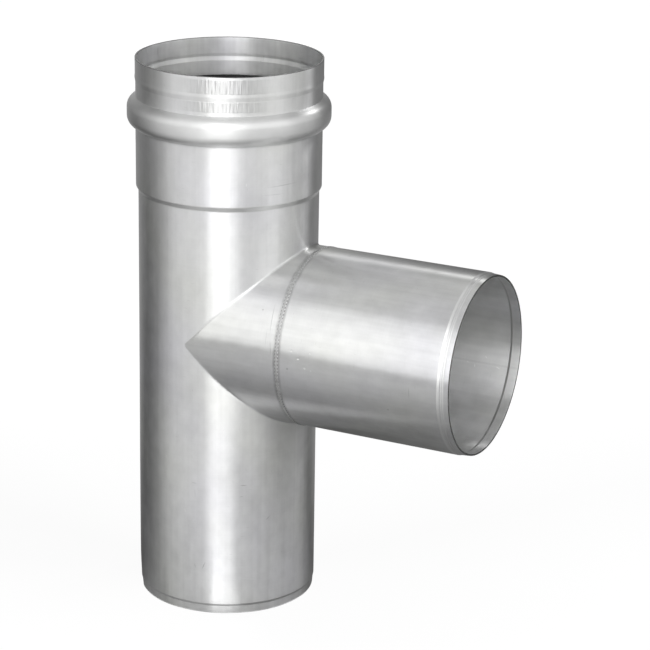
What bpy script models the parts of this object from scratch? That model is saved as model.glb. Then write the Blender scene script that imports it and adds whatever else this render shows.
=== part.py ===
"""Stove pipe tee: a single wall stainless tee with a socket on top, a spigot foot and a side branch.

The run stands on its foot at z = 0 and the branch points along +X. The origin is on the floor, under
the middle of the tee's bounding box. Sizes are in metres.
"""

import math

import bmesh
import bpy

# Pipe
PIPE_RADIUS = 0.0400  # outer radius of the run and of the branch
SHEET = 0.0008  # wall of the run and of the branch
LOWER_LEG = 0.0862  # foot to the underside of the branch
UPPER_LEG = 0.0222  # top of the branch to the middle of the socket's step
BRANCH_LEG = 0.0864  # wall of the run to the mouth of the branch

# Socket, with depths measured down from its rim
SOCKET_DEPTH = 0.0588  # rim to the middle of the step
SOCKET_CLEARANCE = 0.0003  # between the sleeve and the spigot of the next pipe
STEP_HEIGHT = 0.0016
STEP_FILLET = 0.0008
COLLAR_FLARE = 0.00025  # how much wider the collar is above its ridge
RIDGE_DEPTH = 0.0076  # rim to the start of the collar's ridge
RIDGE_CREST = 0.0013  # start of the ridge to its crest
RIDGE_HEIGHT = 0.0033  # start of the ridge to its end
RIDGE_RISE = 0.00008

# Bead that holds the seal
BEAD_DEPTH = 0.0241  # rim to the bead's middle
BEAD_WIDTH = 0.0134
BEAD_RISE = 0.00385
BEAD_SHOULDER_ANGLE = math.radians(60)
BEAD_CROWN_FILLET = 0.0045
BEAD_FOOT_FILLET = 0.0009

# Lead-in rolled into the foot and into the mouth of the branch
LEAD_LENGTH = 0.0042
LEAD_STEP = 0.00025  # how far the pipe closes where the lead-in starts
LEAD_STEP_LENGTH = 0.0007
LEAD_TAPER = 0.00015  # how much further it closes towards its edge

# Branch neck, pulled out of the wall of the run
NECK_COLLAR = 0.0042  # how far the neck stands out
NECK_FILLET = 0.0018  # fold between the run and the neck
NECK_MARGIN = 0.0010  # plain wall above and below the folds

# Butt weld between the neck and the branch
WELD_WIDTH = 0.0018
WELD_CROWN = 0.00035  # height above the pipe
WELD_ROOT = 0.00020  # depth inside the pipe
FIT_GAP = 0.0003  # between two pieces that touch

# Lip seal in the bead
SEAL_LIP_PRESS = 0.0003  # how far the lips reach inside the outer radius of the next pipe
SEAL_LIP_WIDTH = 0.0011
SEAL_LIP_SLOPE = 0.0005  # how far a lip's tip leans towards the middle of the seal
SEAL_WAIST_DEPTH = 0.0009  # from the lips to the seal's hollow middle
SEAL_WAIST_WIDTH = 0.0050

# Facets
QUARTER_FACETS = 16  # in a quarter turn of every pipe
NECK_FACETS = 4  # across the neck's fold
WELD_FACETS = 4  # across the weld's crown
CHORD_ERROR = 0.00004  # most that a facet leaves the arc of a fillet
SHARP_EDGE = math.radians(35)  # edges that turn by more are shaded sharp

# Places that follow from the sizes
FACETS = 4 * QUARTER_FACETS
BRANCH_HEIGHT = LOWER_LEG + PIPE_RADIUS
STEP_MIDDLE = BRANCH_HEIGHT + PIPE_RADIUS + UPPER_LEG
RIM_HEIGHT = STEP_MIDDLE + SOCKET_DEPTH
SLEEVE_RADIUS = PIPE_RADIUS + SOCKET_CLEARANCE + SHEET
COLLAR_RADIUS = SLEEVE_RADIUS + COLLAR_FLARE
BEAD_RADIUS = SLEEVE_RADIUS + BEAD_RISE
BEAD_MIDDLE = RIM_HEIGHT - BEAD_DEPTH
NECK_FOLD = min(NECK_FILLET, NECK_COLLAR / 2)
NECK_END = PIPE_RADIUS + NECK_COLLAR
WELD_MIDDLE = NECK_END + FIT_GAP + WELD_WIDTH / 2
BRANCH_START = NECK_END + WELD_WIDTH + 2 * FIT_GAP
BRANCH_END = PIPE_RADIUS + BRANCH_LEG
RUN_AXIS_X = (BEAD_RADIUS - BRANCH_END) / 2


def clear_scene():
    for obj in list(bpy.data.objects):
        bpy.data.objects.remove(obj, do_unlink=True)


# A section is a list of (height, radius, fillet) corners from high to low, so the axis is on its left


def heading(start, end):
    length = math.hypot(end[0] - start[0], end[1] - start[1])
    return (end[0] - start[0]) / length, (end[1] - start[1]) / length


def turning(before, after):
    """The angle between two headings, positive towards the axis."""
    cross = before[0] * after[1] - before[1] * after[0]
    return math.atan2(cross, before[0] * after[0] + before[1] * after[1])


def with_room_for_fillets(corners):
    """The section with each fillet held to half of the shorter stretch beside it."""
    fitted = [corners[0]]
    for previous, corner, following in zip(corners, corners[1:], corners[2:]):
        height, radius, fillet = corner
        turn = turning(heading(previous, corner), heading(corner, following))
        room = min(math.dist(previous[:2], corner[:2]), math.dist(corner[:2], following[:2])) / 2
        if fillet:
            fillet = min(fillet, room / math.tan(abs(turn) / 2))
        fitted.append((height, radius, fillet))
    fitted.append(corners[-1])
    return fitted


def moved_inwards(corners, depth):
    """The section of the sheet's skin that lies depth behind this one, with its ends cut square."""
    headings = [heading(a, b) for a, b in zip(corners, corners[1:])]
    height, radius, fillet = corners[0]
    moved = [(height, radius + depth / headings[0][0], fillet)]
    for (height, radius, fillet), before, after in zip(corners[1:], headings, headings[1:]):
        share = depth / (1 + before[0] * after[0] + before[1] * after[1])
        height -= share * (before[1] + after[1])
        radius += share * (before[0] + after[0])
        if fillet:
            fillet = max(fillet - math.copysign(depth, turning(before, after)), 0.0)
        moved.append((height, radius, fillet))
    height, radius, fillet = corners[-1]
    moved.append((height, radius + depth / headings[-1][0], fillet))
    return moved


def arc_points(start, centre, turn, radius):
    """The points of an arc of this turn, with as few facets as CHORD_ERROR allows."""
    widest = 2 * math.acos(1 - min(CHORD_ERROR / radius, 1.0))
    count = max(1, math.ceil(abs(turn) / widest))
    spoke = (start[0] - centre[0], start[1] - centre[1])
    points = []
    for k in range(count + 1):
        cosine = math.cos(turn * k / count)
        sine = math.sin(turn * k / count)
        points.append(
            (
                centre[0] + spoke[0] * cosine - spoke[1] * sine,
                centre[1] + spoke[0] * sine + spoke[1] * cosine,
            )
        )
    return points


def outline(corners):
    """The section's (height, radius) points, with every fillet as an arc."""
    points = [corners[0][:2]]
    for previous, corner, following in zip(corners, corners[1:], corners[2:]):
        height, radius, fillet = corner
        if not fillet:
            points.append((height, radius))
            continue
        before = heading(previous, corner)
        turn = turning(before, heading(corner, following))
        reach = fillet * math.tan(abs(turn) / 2)
        side = math.copysign(fillet, turn)
        start = (height - before[0] * reach, radius - before[1] * reach)
        centre = (start[0] - before[1] * side, start[1] + before[0] * side)
        points.extend(arc_points(start, centre, turn, fillet))
    points.append(corners[-1][:2])
    return points


# Rings of vertices


def ring_angle(column):
    """Columns are counted from -Y, so the first half of them faces the branch."""
    return 2 * math.pi * column / FACETS - math.pi / 2


def ring(bm, height, radius):
    return [
        bm.verts.new((radius * math.cos(ring_angle(j)), radius * math.sin(ring_angle(j)), height))
        for j in range(FACETS)
    ]


def rings(bm, points):
    return [ring(bm, height, radius) for height, radius in points]


def bridge(bm, first, second, closed=True):
    count = len(first) if closed else len(first) - 1
    for j in range(count):
        k = (j + 1) % len(first)
        bm.faces.new((first[j], first[k], second[k], second[j]))


def bridge_all(bm, loops):
    for first, second in zip(loops, loops[1:]):
        bridge(bm, first, second)


# Sections of the pieces


def bead_corners():
    """The bead from its upper foot to its lower foot."""
    half_foot = BEAD_WIDTH / 2
    half_crown = half_foot - BEAD_RISE / math.tan(BEAD_SHOULDER_ANGLE)
    return [
        (BEAD_MIDDLE + half_foot, SLEEVE_RADIUS, BEAD_FOOT_FILLET),
        (BEAD_MIDDLE + half_crown, BEAD_RADIUS, BEAD_CROWN_FILLET),
        (BEAD_MIDDLE - half_crown, BEAD_RADIUS, BEAD_CROWN_FILLET),
        (BEAD_MIDDLE - half_foot, SLEEVE_RADIUS, BEAD_FOOT_FILLET),
    ]


def socket_section(bottom):
    """The run from the socket's rim down to bottom, where the neck's folds begin."""
    ridge_start = RIM_HEIGHT - RIDGE_DEPTH
    corners = [
        (RIM_HEIGHT, COLLAR_RADIUS, 0),
        (ridge_start, COLLAR_RADIUS, 0),
        (ridge_start - RIDGE_CREST, COLLAR_RADIUS + RIDGE_RISE, 0),
        (ridge_start - RIDGE_HEIGHT, SLEEVE_RADIUS, 0),
        *bead_corners(),
        (STEP_MIDDLE + STEP_HEIGHT / 2, SLEEVE_RADIUS, STEP_FILLET),
        (STEP_MIDDLE - STEP_HEIGHT / 2, PIPE_RADIUS, STEP_FILLET),
        (bottom, PIPE_RADIUS, 0),
    ]
    return with_room_for_fillets(corners)


def spigot_section(top):
    """A pipe from top down to its end at height 0, with the lead-in rolled into it."""
    return [
        (top, PIPE_RADIUS, 0),
        (LEAD_LENGTH + LEAD_STEP_LENGTH, PIPE_RADIUS, 0),
        (LEAD_LENGTH, PIPE_RADIUS - LEAD_STEP, 0),
        (0, PIPE_RADIUS - LEAD_STEP - LEAD_TAPER, 0),
    ]


# The run with its pulled neck


def fold_column(bm, column, depth, way, shared):
    """One column of the neck, from the run's wall round the fold to the neck's edge.

    The neck and the run have one radius, so in each plane square to Y their walls meet at a right
    angle, at a point as far above (way 1) or below (way -1) the branch's axis as it lies along the
    branch. That corner is rounded by the fold. Where the wall faces +Y or -Y both folds end in the
    same two vertices, which come in as shared.
    """
    radius = PIPE_RADIUS - depth
    fold = NECK_FOLD + depth
    across = radius * math.sin(ring_angle(column))
    along = radius * math.cos(ring_angle(column))
    if column in (0, FACETS // 2):
        along = 0.0
    verts = []
    for k in range(NECK_FACETS + 1):
        angle = math.pi / 2 * k / NECK_FACETS
        x = along + fold * (1 - math.cos(angle))
        rise = along + fold * (1 - math.sin(angle))
        if k == NECK_FACETS and shared:
            verts.append(shared[0])
        else:
            verts.append(bm.verts.new((x, across, BRANCH_HEIGHT + way * rise)))
    edge = shared[1] if shared else bm.verts.new((NECK_END, across, BRANCH_HEIGHT + way * along))
    return [*verts, edge]


def neck_skin(bm, upper, lower, depth):
    """The stretch of the run between the rings upper and lower, with the neck's skin in its front.

    It gives back the neck's edge as one loop.
    """
    half = FACETS // 2
    above = []
    below = []
    for j in range(half + 1):
        above.append(fold_column(bm, j, depth, 1, None))
        shared = above[j][-2:] if j in (0, half) else None
        below.append(fold_column(bm, j, depth, -1, shared))
    for columns, end in ((above, upper), (below, lower)):
        for j in range(half):
            first = [end[j], *columns[j]]
            second = [end[j + 1], *columns[j + 1]]
            bridge(bm, first, second, closed=False)
    # The flat spot on each side, where run and branch share one tangent plane, and the back wall
    for j in (0, half):
        bm.faces.new([*above[j][:-1], *below[j][-3::-1]])
    for j in range(half, FACETS):
        k = (j + 1) % FACETS
        side = [above[j][0], below[j][0]] if j == half else []
        other = [below[0][0], above[0][0]] if k == 0 else []
        bm.faces.new([upper[j], *side, lower[j], lower[k], *other, upper[k]])
    return [column[-1] for column in above] + [column[-1] for column in below[-2:0:-1]]


def run_skin(bm, depth):
    """One skin of the run, depth behind the outer one: its rim, its foot and the neck's edge."""
    fold_reach = PIPE_RADIUS + NECK_FOLD + NECK_MARGIN
    socket = socket_section(BRANCH_HEIGHT + fold_reach)
    spigot = spigot_section(BRANCH_HEIGHT - fold_reach)
    if depth:
        socket = moved_inwards(socket, depth)
        spigot = moved_inwards(spigot, depth)
    upper = rings(bm, outline(socket))
    lower = rings(bm, outline(spigot))
    bridge_all(bm, upper)
    bridge_all(bm, lower)
    neck = neck_skin(bm, upper[-1], lower[0], depth)
    return upper[0], lower[-1], neck


def run_mesh(bm):
    for outside, inside in zip(run_skin(bm, 0.0), run_skin(bm, SHEET)):
        bridge(bm, outside, inside)


# The other pieces, each turned about its own Z axis


def branch_mesh(bm):
    """The side pipe, standing on its mouth."""
    section = spigot_section(BRANCH_END - BRANCH_START)
    outside = rings(bm, outline(section))
    inside = rings(bm, outline(moved_inwards(section, SHEET)))
    bridge_all(bm, [*outside, *reversed(inside), outside[0]])


def weld_mesh(bm):
    """The weld bead: as thick as the wall, crowned outside and standing a little proud inside."""
    half = WELD_WIDTH / 2
    points = []
    for k in range(WELD_FACETS + 1):
        place = 1 - 2 * k / WELD_FACETS
        points.append((half * place, PIPE_RADIUS + WELD_CROWN * (1 - place**2)))
    points.append((-half, PIPE_RADIUS - SHEET))
    points.append((0, PIPE_RADIUS - SHEET - WELD_ROOT))
    points.append((half, PIPE_RADIUS - SHEET))
    loops = rings(bm, points)
    bridge_all(bm, [*loops, loops[0]])


def seal_mesh(bm):
    """The lip seal: its back fills the bead's groove, and its two lips reach into the socket."""
    back = moved_inwards(with_room_for_fillets(bead_corners()), SHEET + FIT_GAP)
    heights = [height for height, radius, fillet in back]
    top = heights[0]
    bottom = heights[-1]
    lip_radius = PIPE_RADIUS - SEAL_LIP_PRESS
    waist_radius = lip_radius + SEAL_WAIST_DEPTH
    front = [
        (bottom + SEAL_LIP_SLOPE, lip_radius),
        (bottom + SEAL_LIP_SLOPE + SEAL_LIP_WIDTH, lip_radius),
        (BEAD_MIDDLE - SEAL_WAIST_WIDTH / 2, waist_radius),
        (BEAD_MIDDLE + SEAL_WAIST_WIDTH / 2, waist_radius),
        (top - SEAL_LIP_SLOPE - SEAL_LIP_WIDTH, lip_radius),
        (top - SEAL_LIP_SLOPE, lip_radius),
    ]
    loops = rings(bm, [*outline(back), *front])
    bridge_all(bm, [*loops, loops[0]])


def make_material(name, colour, roughness, metallic):
    material = bpy.data.materials.new(name)
    material.use_nodes = True
    shader = material.node_tree.nodes["Principled BSDF"]
    shader.inputs["Base Color"].default_value = (*colour, 1.0)
    shader.inputs["Roughness"].default_value = roughness
    shader.inputs["Metallic"].default_value = metallic
    return material


def add_piece(name, fill, material, parent, location=(0, 0, 0), tilt=0.0):
    """A mesh object that fill draws, smooth apart from its sharp edges."""
    bm = bmesh.new()
    fill(bm)
    bmesh.ops.recalc_face_normals(bm, faces=bm.faces[:])
    mesh = bpy.data.meshes.new(name)
    bm.to_mesh(mesh)
    bm.free()
    mesh.shade_smooth()
    mesh.set_sharp_from_angle(angle=SHARP_EDGE)
    mesh.materials.append(material)
    obj = bpy.data.objects.new(name, mesh)
    obj.location = location
    obj.rotation_euler = (0, tilt, 0)
    obj.parent = parent
    bpy.context.scene.collection.objects.link(obj)
    return obj


def main():
    clear_scene()
    run_axis = bpy.data.objects.new("run_axis", None)
    run_axis.location = (RUN_AXIS_X, 0, 0)
    bpy.context.scene.collection.objects.link(run_axis)

    stainless = make_material("stainless_sheet", (0.63, 0.63, 0.62), 0.30, 1.0)
    weld_metal = make_material("weld_metal", (0.50, 0.50, 0.49), 0.42, 1.0)
    silicone = make_material("black_silicone", (0.03, 0.03, 0.03), 0.55, 0.0)

    along_branch = -math.pi / 2
    add_piece("run_tube", run_mesh, stainless, run_axis)
    add_piece("branch_tube", branch_mesh, stainless, run_axis, (BRANCH_END, 0, BRANCH_HEIGHT), along_branch)
    add_piece("branch_weld", weld_mesh, weld_metal, run_axis, (WELD_MIDDLE, 0, BRANCH_HEIGHT), along_branch)
    add_piece("socket_seal", seal_mesh, silicone, run_axis)


main()
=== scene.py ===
"""Stove pipe tee: the finish of the rolled sheet, the weld and the seal, with the studio around them.

The run stands on its foot and the branch points along +X. Lengths are in metres. Places on the socket
are given as depths below its rim, and places on the branch as distances from the run's axis.
"""

import math
from collections import namedtuple

import bmesh
import bpy
from mathutils import Matrix, Vector, noise


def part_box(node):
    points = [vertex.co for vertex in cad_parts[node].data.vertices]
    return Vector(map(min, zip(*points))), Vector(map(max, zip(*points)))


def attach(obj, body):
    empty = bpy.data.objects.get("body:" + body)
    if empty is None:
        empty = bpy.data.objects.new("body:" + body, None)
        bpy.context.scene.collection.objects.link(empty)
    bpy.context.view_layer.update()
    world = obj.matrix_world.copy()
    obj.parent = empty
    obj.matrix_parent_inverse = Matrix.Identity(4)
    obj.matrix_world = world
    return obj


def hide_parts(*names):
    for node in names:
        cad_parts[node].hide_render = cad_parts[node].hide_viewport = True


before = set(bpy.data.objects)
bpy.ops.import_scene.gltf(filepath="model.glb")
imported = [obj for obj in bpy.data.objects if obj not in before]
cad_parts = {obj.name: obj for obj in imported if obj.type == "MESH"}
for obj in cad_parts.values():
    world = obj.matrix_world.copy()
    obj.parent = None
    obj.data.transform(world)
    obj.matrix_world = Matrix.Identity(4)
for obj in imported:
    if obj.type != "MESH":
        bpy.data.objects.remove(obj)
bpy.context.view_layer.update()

MM = 0.001

# Sizes that the frame gives
run_low, run_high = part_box("run_tube")
branch_low, branch_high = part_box("branch_tube")
weld_low, weld_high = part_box("branch_weld")
BEAD_RADIUS = (run_high.y - run_low.y) / 2
RUN_AXIS_X = run_low.x + BEAD_RADIUS
RIM = run_high.z
PIPE_RADIUS = (branch_high.y - branch_low.y) / 2
BRANCH_HEIGHT = (branch_high.z + branch_low.z) / 2
MOUTH = branch_high.x - RUN_AXIS_X
WELD_MIDDLE = (weld_low.x + weld_high.x) / 2 - RUN_AXIS_X
WELD_WIDTH = weld_high.x - weld_low.x
WELD_CROWN = (weld_high.y - weld_low.y) / 2 - PIPE_RADIUS

# Sheet
SHEET = 0.8 * MM
SHEARED_EDGE = 0.15 * MM  # rounding of a sheared and brushed edge
CUT_SHARE = 0.45  # share of the sheet's cut end that each of its skins covers
LEAST_FILLET = 0.05 * MM
BOW_ROOM = 0.06 * MM  # most that the gentle bowing of the sheet moves it

# Socket, with its places as depths below its rim
SLEEVE_RADIUS = PIPE_RADIUS + 1.1 * MM
COLLAR_RADIUS = SLEEVE_RADIUS + 0.25 * MM
RIDGE_START = 7.5 * MM
RIDGE_CREST = 8.9 * MM
RIDGE_END = 10.8 * MM
RIDGE_RISE = 0.15 * MM
RIDGE_FILLETS = (1.2 * MM, 2.5 * MM, 0.5 * MM)  # at its start, crest and end
BEAD_MIDDLE = 23.8 * MM
BEAD_WIDTH = 13.4 * MM
BEAD_CROWN_RADIUS = BEAD_RADIUS - BOW_ROOM
BEAD_SHOULDER = math.radians(60)
STEP_MIDDLE = 58.2 * MM
STEP_HEIGHT = 2.0 * MM
STEP_FILLET = 1.1 * MM
CROWN_FILLET = 4.6 * MM
UPPER_FOOT_FILLET = 0.12 * MM
LOWER_FOOT_FILLET = 1.3 * MM

# Lead-in rolled into the foot and the mouth
FOOT_LEAD = 3.7 * MM
MOUTH_LEAD = 4.2 * MM
LEAD_STEP = 0.28 * MM
LEAD_STEP_LENGTH = 0.9 * MM
LEAD_TAPER = 0.3 * MM
LEAD_FILLETS = (0.8 * MM, 0.5 * MM)  # above and below the step
MOUTH_RINGS = (3.3 * MM, 2.4 * MM)  # from the mouth
RING_WIDTH = 0.35 * MM
RING_DEPTH = 0.05 * MM
RING_FILLET = 0.2 * MM

# Neck pulled out of the run, and the branch that is welded to its edge
WELD_GAP = 0.2 * MM  # from the weld's middle to each of the two edges
NECK_EDGE = WELD_MIDDLE - WELD_GAP
BRANCH_START = WELD_MIDDLE + WELD_GAP
NECK_FOLD = 1.1 * MM
NECK_MARGIN = 1.0 * MM  # of the run's wall above and below the fold

# How finely the skins are drawn
COLUMNS = 256  # round a pipe; an even number, so that one lies on each side of the neck
OUTER_STRETCH = 2.0 * MM  # longest stretch between two rings
INNER_STRETCH = 3.0 * MM
OUTER_ROWS = (28, 18)  # of faces, down the run's wall to the neck's fold and from there to the neck's edge
INNER_ROWS = (14, 8)
ARC_STEP = math.radians(12)
FOLD_STEPS = 7
END_ROOM = 0.16 * MM  # faces that lie this near to a sheared end belong to it


# Sections: lists of (height, radius, fillet) corners from high to low, so the axis is on their left


def heading(start, end):
    length = math.hypot(end[0] - start[0], end[1] - start[1])
    return (end[0] - start[0]) / length, (end[1] - start[1]) / length


def turning(before, after):
    """The angle between two headings, positive towards the axis."""
    cross = before[0] * after[1] - before[1] * after[0]
    return math.atan2(cross, before[0] * after[0] + before[1] * after[1])


def moved_inwards(corners, depth):
    """The sheet's other skin, depth behind this one, with its ends cut square."""
    headings = [heading(a, b) for a, b in zip(corners, corners[1:])]
    height, radius, fillet = corners[0]
    moved = [(height, radius + depth / headings[0][0], fillet)]
    for (height, radius, fillet), before, after in zip(corners[1:], headings, headings[1:]):
        share = depth / (1 + before[0] * after[0] + before[1] * after[1])
        height -= share * (before[1] + after[1])
        radius += share * (before[0] + after[0])
        if fillet:
            fillet = max(fillet - math.copysign(depth, turning(before, after)), LEAST_FILLET)
        moved.append((height, radius, fillet))
    height, radius, fillet = corners[-1]
    moved.append((height, radius + depth / headings[-1][0], fillet))
    return moved


def divided(points, longest):
    """The same line with more points on it, so that no stretch is longer than longest."""
    result = [points[0]]
    for start, end in zip(points, points[1:]):
        count = max(1, math.ceil(math.dist(start, end) / longest))
        for k in range(1, count + 1):
            share = k / count
            height = start[0] + (end[0] - start[0]) * share
            radius = start[1] + (end[1] - start[1]) * share
            result.append((height, radius))
    return result


def outline(corners, longest):
    """The section's (height, radius) points: fillets as arcs, and no stretch longer than longest."""
    points = [corners[0][:2]]
    for previous, corner, following in zip(corners, corners[1:], corners[2:]):
        height, radius, fillet = corner
        if not fillet:
            points.append((height, radius))
            continue
        before = heading(previous, corner)
        turn = turning(before, heading(corner, following))
        reach = fillet * math.tan(abs(turn) / 2)
        side = math.copysign(fillet, turn)
        start = Vector((height - before[0] * reach, radius - before[1] * reach))
        centre = start + Vector((-before[1], before[0])) * side
        count = max(2, math.ceil(abs(turn) / ARC_STEP))
        for k in range(count + 1):
            points.append(tuple(centre + Matrix.Rotation(turn * k / count, 2) @ (start - centre)))
    points.append(corners[-1][:2])
    return divided(points, longest)


def with_sheared_end(corners, depth, first):
    """The section with a broken edge at its first or last corner, where the sheet was sheared.

    depth is the side of the sheet that the section is on: 0 outside and SHEET inside.
    """
    corners = list(corners) if first else list(reversed(corners))
    height, radius, fillet = corners[0]
    covered = CUT_SHARE * SHEET
    middle = radius - covered if depth == 0 else radius + covered
    corners[0:1] = [(height, middle, 0), (height, radius, SHEARED_EDGE)]
    return corners if first else list(reversed(corners))


def bead_corners():
    half_foot = BEAD_WIDTH / 2
    half_crown = half_foot - (BEAD_CROWN_RADIUS - SLEEVE_RADIUS) / math.tan(BEAD_SHOULDER)
    middle = RIM - BEAD_MIDDLE
    return [
        (middle + half_foot, SLEEVE_RADIUS, UPPER_FOOT_FILLET),
        (middle + half_crown, BEAD_CROWN_RADIUS, CROWN_FILLET),
        (middle - half_crown, BEAD_CROWN_RADIUS, CROWN_FILLET),
        (middle - half_foot, SLEEVE_RADIUS, LOWER_FOOT_FILLET),
    ]


def socket_corners(bottom):
    """The outside of the socket, from its rim down to the plain pipe below its step."""
    return [
        (RIM, COLLAR_RADIUS, 0),
        (RIM - RIDGE_START, COLLAR_RADIUS, RIDGE_FILLETS[0]),
        (RIM - RIDGE_CREST, COLLAR_RADIUS + RIDGE_RISE, RIDGE_FILLETS[1]),
        (RIM - RIDGE_END, SLEEVE_RADIUS, RIDGE_FILLETS[2]),
        *bead_corners(),
        (RIM - STEP_MIDDLE + STEP_HEIGHT / 2, SLEEVE_RADIUS, STEP_FILLET),
        (RIM - STEP_MIDDLE - STEP_HEIGHT / 2, PIPE_RADIUS, STEP_FILLET),
        (bottom, PIPE_RADIUS, 0),
    ]


def spigot_corners(top, lead, rings=()):
    """A plain pipe from top down to the lead-in at 0, with fine rings rolled into the lead-in."""
    stepped = PIPE_RADIUS - LEAD_STEP
    corners = [
        (top, PIPE_RADIUS, 0),
        (lead + LEAD_STEP_LENGTH, PIPE_RADIUS, LEAD_FILLETS[0]),
        (lead, stepped, LEAD_FILLETS[1]),
    ]
    for height in rings:
        radius = stepped - LEAD_TAPER * (1 - height / lead)
        for off, depth in ((RING_WIDTH, 0), (0, RING_DEPTH), (-RING_WIDTH, 0)):
            corners.append((height + off, radius - depth, RING_FILLET))
    corners.append((0.0, stepped - LEAD_TAPER, 0))
    return corners


# Skins


def on_circle(radius, angle, height):
    return radius * math.cos(angle), radius * math.sin(angle), height


class Skin:
    """Vertices and faces of one mesh, gathered ring by ring."""

    def __init__(self):
        self.points = []
        self.faces = []
        self.slots = []

    def point(self, x, y, z):
        self.points.append(Vector((x, y, z)))
        return len(self.points) - 1

    def ring(self, height, radius, columns=COLUMNS):
        return [self.point(*on_circle(radius, ring_angle(j, columns), height)) for j in range(columns)]

    def face(self, corners, slot=0):
        self.faces.append(corners)
        self.slots.append(slot)

    def bridge(self, first, second, slot=0, closed=True):
        """A band of faces between two lines of points, or between two rings if they are closed."""
        count = len(first) if closed else len(first) - 1
        for j in range(count):
            k = (j + 1) % len(first)
            self.face((first[j], first[k], second[k], second[j]), slot)

    def bridge_all(self, loops, slot=0):
        for first, second in zip(loops, loops[1:]):
            self.bridge(first, second, slot)


def ring_angle(column, columns=COLUMNS):
    """Columns are counted from -Y, so the first half of them faces the branch."""
    return 2 * math.pi * column / columns - math.pi / 2


# Places of the materials in the run's list, and of the last two in the branch's list
OUTSIDE, INSIDE, NECK_OUTSIDE, NECK_INSIDE, FORMED, EDGE = range(6)
BRANCH_FORMED, BRANCH_EDGE = 2, 3


def mark_faces(skin, low, high, slot, only=None):
    """Gives the faces between two heights another material, if they have the one named by only."""
    for i, face in enumerate(skin.faces):
        heights = [skin.points[p].z for p in face]
        if min(heights) >= low and max(heights) <= high and only in (None, skin.slots[i]):
            skin.slots[i] = slot


# The points of one column over the neck, from the run's wall to the neck's edge
Column = namedtuple("Column", "wall bend neck")


def fold_column(skin, column, depth, way, top, shared, rows):
    """One column over the neck: down the run's wall, round the fold and out to the neck's edge.

    The neck and the run have one radius, so in each plane square to Y their walls meet at a right
    angle, as far above or below the branch's axis as they lie along it. The fold rounds that corner.
    way is 1 above the axis and -1 below it. shared holds the points that a side column below the axis
    has in common with the one above.
    """
    wall_rows, neck_rows = rows
    radius = PIPE_RADIUS - depth
    fold = NECK_FOLD + depth
    across = radius * math.sin(ring_angle(column))
    along = radius * math.cos(ring_angle(column))
    if column in (0, COLUMNS // 2):
        along = 0.0
    wall = []
    for k in range(1, wall_rows):
        height = top + (BRANCH_HEIGHT + way * (along + fold) - top) * k / wall_rows
        wall.append(skin.point(along, across, height))
    bend = []
    for k in range(FOLD_STEPS + 1):
        angle = math.pi / 2 * k / FOLD_STEPS
        if k == FOLD_STEPS and shared:
            return Column(wall, [*bend, shared[0]], shared[1:])
        rise = along + fold * (1 - math.sin(angle))
        bend.append(skin.point(along + fold * (1 - math.cos(angle)), across, BRANCH_HEIGHT + way * rise))
    neck = []
    for k in range(1, neck_rows + 1):
        share = k / neck_rows
        reach = along + fold + (NECK_EDGE - along - fold) * share
        neck.append(skin.point(reach, across, BRANCH_HEIGHT + way * along))
    return Column(wall, bend, neck)


def neck_skin(skin, upper, lower, heights, depth, rows, slots):
    """The stretch of the run between the rings upper and lower, with the neck in its front half.

    Gives the points round the neck's edge.
    """
    half = COLUMNS // 2
    wall_slot, neck_slot = slots
    above = []
    below = []
    for j in range(half + 1):
        above.append(fold_column(skin, j, depth, 1, heights[0], None, rows))
        shared = [above[j].bend[-1], *above[j].neck] if j in (0, half) else None
        below.append(fold_column(skin, j, depth, -1, heights[1], shared, rows))
    middle_of_bend = FOLD_STEPS // 2
    for columns, end in ((above, upper), (below, lower)):
        for j in range(half):
            walls = []
            necks = []
            for k in (j, j + 1):
                column = columns[k]
                walls.append([end[k], *column.wall, *column.bend[: middle_of_bend + 1]])
                necks.append([*column.bend[middle_of_bend:], *column.neck])
            skin.bridge(walls[0], walls[1], wall_slot, closed=False)
            skin.bridge(necks[0], necks[1], neck_slot, closed=False)
    # The flat spot on each side, where the run and the branch share one tangent plane
    for j in (0, half):
        skin.face([*above[j].bend, *below[j].bend[-2::-1]], wall_slot)
    # The back half has its rows where the side columns have theirs
    sides = []
    for j in (0, half):
        down_to_fold = [upper[j], *above[j].wall, above[j].bend[0]]
        down_from_fold = [below[j].bend[0], *reversed(below[j].wall), lower[j]]
        sides.append(down_to_fold + down_from_fold)
    back_columns = [sides[1]]
    radius = PIPE_RADIUS - depth
    for j in range(half + 1, COLUMNS):
        column = []
        for i in sides[0][1:-1]:
            column.append(skin.point(*on_circle(radius, ring_angle(j), skin.points[i].z)))
        back_columns.append([upper[j], *column, lower[j]])
    back_columns.append(sides[0])
    for first, second in zip(back_columns, back_columns[1:]):
        skin.bridge(first, second, wall_slot, closed=False)
    return [column.neck[-1] for column in above + below[-2:0:-1]]


def run_skin(skin, depth, longest, rows, slots):
    """Adds one skin of the run and gives the points round its rim, its foot and the neck's edge."""
    reach = PIPE_RADIUS + NECK_FOLD + NECK_MARGIN
    heights = (BRANCH_HEIGHT + reach, BRANCH_HEIGHT - reach)
    socket = socket_corners(heights[0])
    spigot = spigot_corners(heights[1], FOOT_LEAD)
    if depth:
        socket = moved_inwards(socket, depth)
        spigot = moved_inwards(spigot, depth)
    socket = with_sheared_end(socket, depth, first=True)
    spigot = with_sheared_end(spigot, depth, first=False)
    upper = [skin.ring(*point) for point in outline(socket, longest)]
    lower = [skin.ring(*point) for point in outline(spigot, longest)]
    skin.bridge_all(upper, slots[0])
    skin.bridge_all(lower, slots[0])
    neck = neck_skin(skin, upper[-1], lower[0], heights, depth, rows, slots)
    return upper[0], lower[-1], neck


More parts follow.
